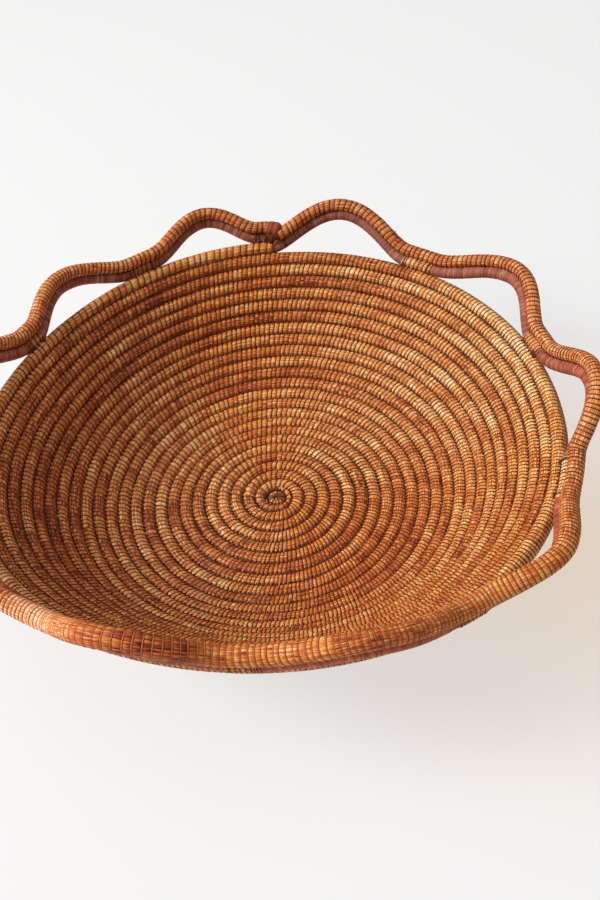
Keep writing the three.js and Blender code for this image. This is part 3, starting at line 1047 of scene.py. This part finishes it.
# stage, lights and camera
stageLook = {
    "floor": "f1f1f1",
    "warm": "f0e0cf",  # painted warm shade on the paper beside the basket, where its shadow falls
    "warmShadePlace": (205 * mm, -45 * mm),
    "warmShadeReach": 235 * mm,
    "floorSize": 6.0,
    "glow": 0.78,  # share of the floor's tone that the shadow can't darken
    "drop": 0.3 * mm,  # under the basket, so that the two never share a plane
    "roughness": 0.9,
    "shine": 0.1,
    "fill": "fff7f0",
    "fillStrength": 0.42,
    "wall": "f3f2f1",
}


def mixForCamera(tree, share, shader, seen, output):
    # what the camera sees is the second shader by this share, and light meets only the first
    mix = tree.nodes.new("ShaderNodeMixShader")
    camera = tree.nodes.new("ShaderNodeLightPath").outputs["Is Camera Ray"]
    tree.links.new(sums(tree, "MULTIPLY", camera, share), mix.inputs[0])
    tree.links.new(shader.outputs[0], mix.inputs[1])
    tree.links.new(seen.outputs[0], mix.inputs[2])
    tree.links.new(mix.outputs[0], output.inputs["Surface"])


def makeFloor():
    mesh = bpy.data.meshes.new("paleFloor")
    half = stageLook["floorSize"] / 2
    corners = [(-half, -half, 0), (half, -half, 0), (half, half, 0), (-half, half, 0)]
    mesh.from_pydata(corners, [], [(0, 1, 2, 3)])
    floor = inScene("paleFloor", mesh)
    floor.location.z = -stageLook["drop"]
    material, tree, shader = newMaterial("palePaper")
    place = tree.nodes.new("ShaderNodeSeparateXYZ")
    tree.links.new(tree.nodes.new("ShaderNodeNewGeometry").outputs["Position"], place.inputs[0])
    # a painted warm shade on the paper where the basket's shadow falls
    away = [sums(tree, "SUBTRACT", place.outputs[k], stageLook["warmShadePlace"][k]) for k in (0, 1)]
    away = sums(tree, "SQRT", sums(tree, "ADD", *[sums(tree, "POWER", side, 2.0) for side in away]))
    warm = remap(tree, away, 0.0, stageLook["warmShadeReach"], 1.0, 0.0)
    paper = tint(tree, "MIX", warm, linear(stageLook["floor"]), linear(stageLook["warm"]))
    surface(tree, shader, paper, stageLook["roughness"], stageLook["shine"])
    glow = tree.nodes.new("ShaderNodeEmission")
    tree.links.new(paper, glow.inputs["Color"])
    mixForCamera(tree, stageLook["glow"], shader, glow, tree.nodes["Material Output"])
    mesh.materials.append(material)


# sizes in metres, power in watts
lamps = {
    "keyLamp": {"place": (-1.9, -0.25, 1.45), "size": 0.8, "power": 62, "colour": (1.0, 0.99, 0.985)},
    "topLamp": {"place": (-0.3, 0.1, 1.9), "size": 1.4, "power": 8, "colour": (1.0, 1.0, 1.0)},
}
lampAim = Vector((0, 0, 50 * mm))


def makeLamp(name):
    lamp = bpy.data.lights.new(name, "AREA")
    lamp.shape = "DISK"
    lamp.size = lamps[name]["size"]
    lamp.energy = lamps[name]["power"]
    lamp.color = lamps[name]["colour"]
    made = inScene(name, lamp)
    place = Vector(lamps[name]["place"])
    made.location = place
    made.rotation_euler = (lampAim - place).to_track_quat("-Z", "Y").to_euler()


def makeWorld():
    # a soft fill for the object, and a pale wall behind it where a view looks past the floor
    world = bpy.data.worlds.new("studioRoom")
    world.use_nodes = True
    tree = world.node_tree
    fill = tree.nodes["Background"]
    fill.inputs["Color"].default_value = linear(stageLook["fill"])
    fill.inputs["Strength"].default_value = stageLook["fillStrength"]
    wall = tree.nodes.new("ShaderNodeBackground")
    wall.inputs["Color"].default_value = linear(stageLook["wall"])
    mixForCamera(tree, 1.0, fill, wall, tree.nodes["World Output"])
    bpy.context.scene.world = world


cameraSetup = {
    "target": (0, 0, 84.85 * mm),
    "distance": 634.9 * mm,
    "elevation": math.radians(44.24),
    "turn": math.radians(5.69),
    "roll": math.radians(-7.02),
    "lens": 38.17,
    "sensor": 36.0,
    "shift": (0.0365, -0.0325),
}


def makeCamera():
    lens = bpy.data.cameras.new("frontView")
    lens.lens = cameraSetup["lens"]
    lens.sensor_width = cameraSetup["sensor"]
    lens.shift_x, lens.shift_y = cameraSetup["shift"]
    elevation, turn = cameraSetup["elevation"], cameraSetup["turn"]
    away = math.cos(elevation)
    back = Vector((math.sin(turn) * away, -math.cos(turn) * away, math.sin(elevation)))
    level = Vector((math.cos(turn), math.sin(turn), 0))
    upright = back.cross(level)
    roll = cameraSetup["roll"]
    right = level * math.cos(roll) + upright * math.sin(roll)
    up = back.cross(right)
    place = Vector(cameraSetup["target"]) + back * cameraSetup["distance"]
    camera = inScene("frontView", lens)
    camera.matrix_world = Matrix.Translation(place) @ Matrix((right, up, back)).transposed().to_4x4()
    bpy.context.scene.camera = camera


makeFloor()
makeWorld()
for name in lamps:
    makeLamp(name)
makeCamera()
bpy.context.scene.view_settings.view_transform = "Standard"
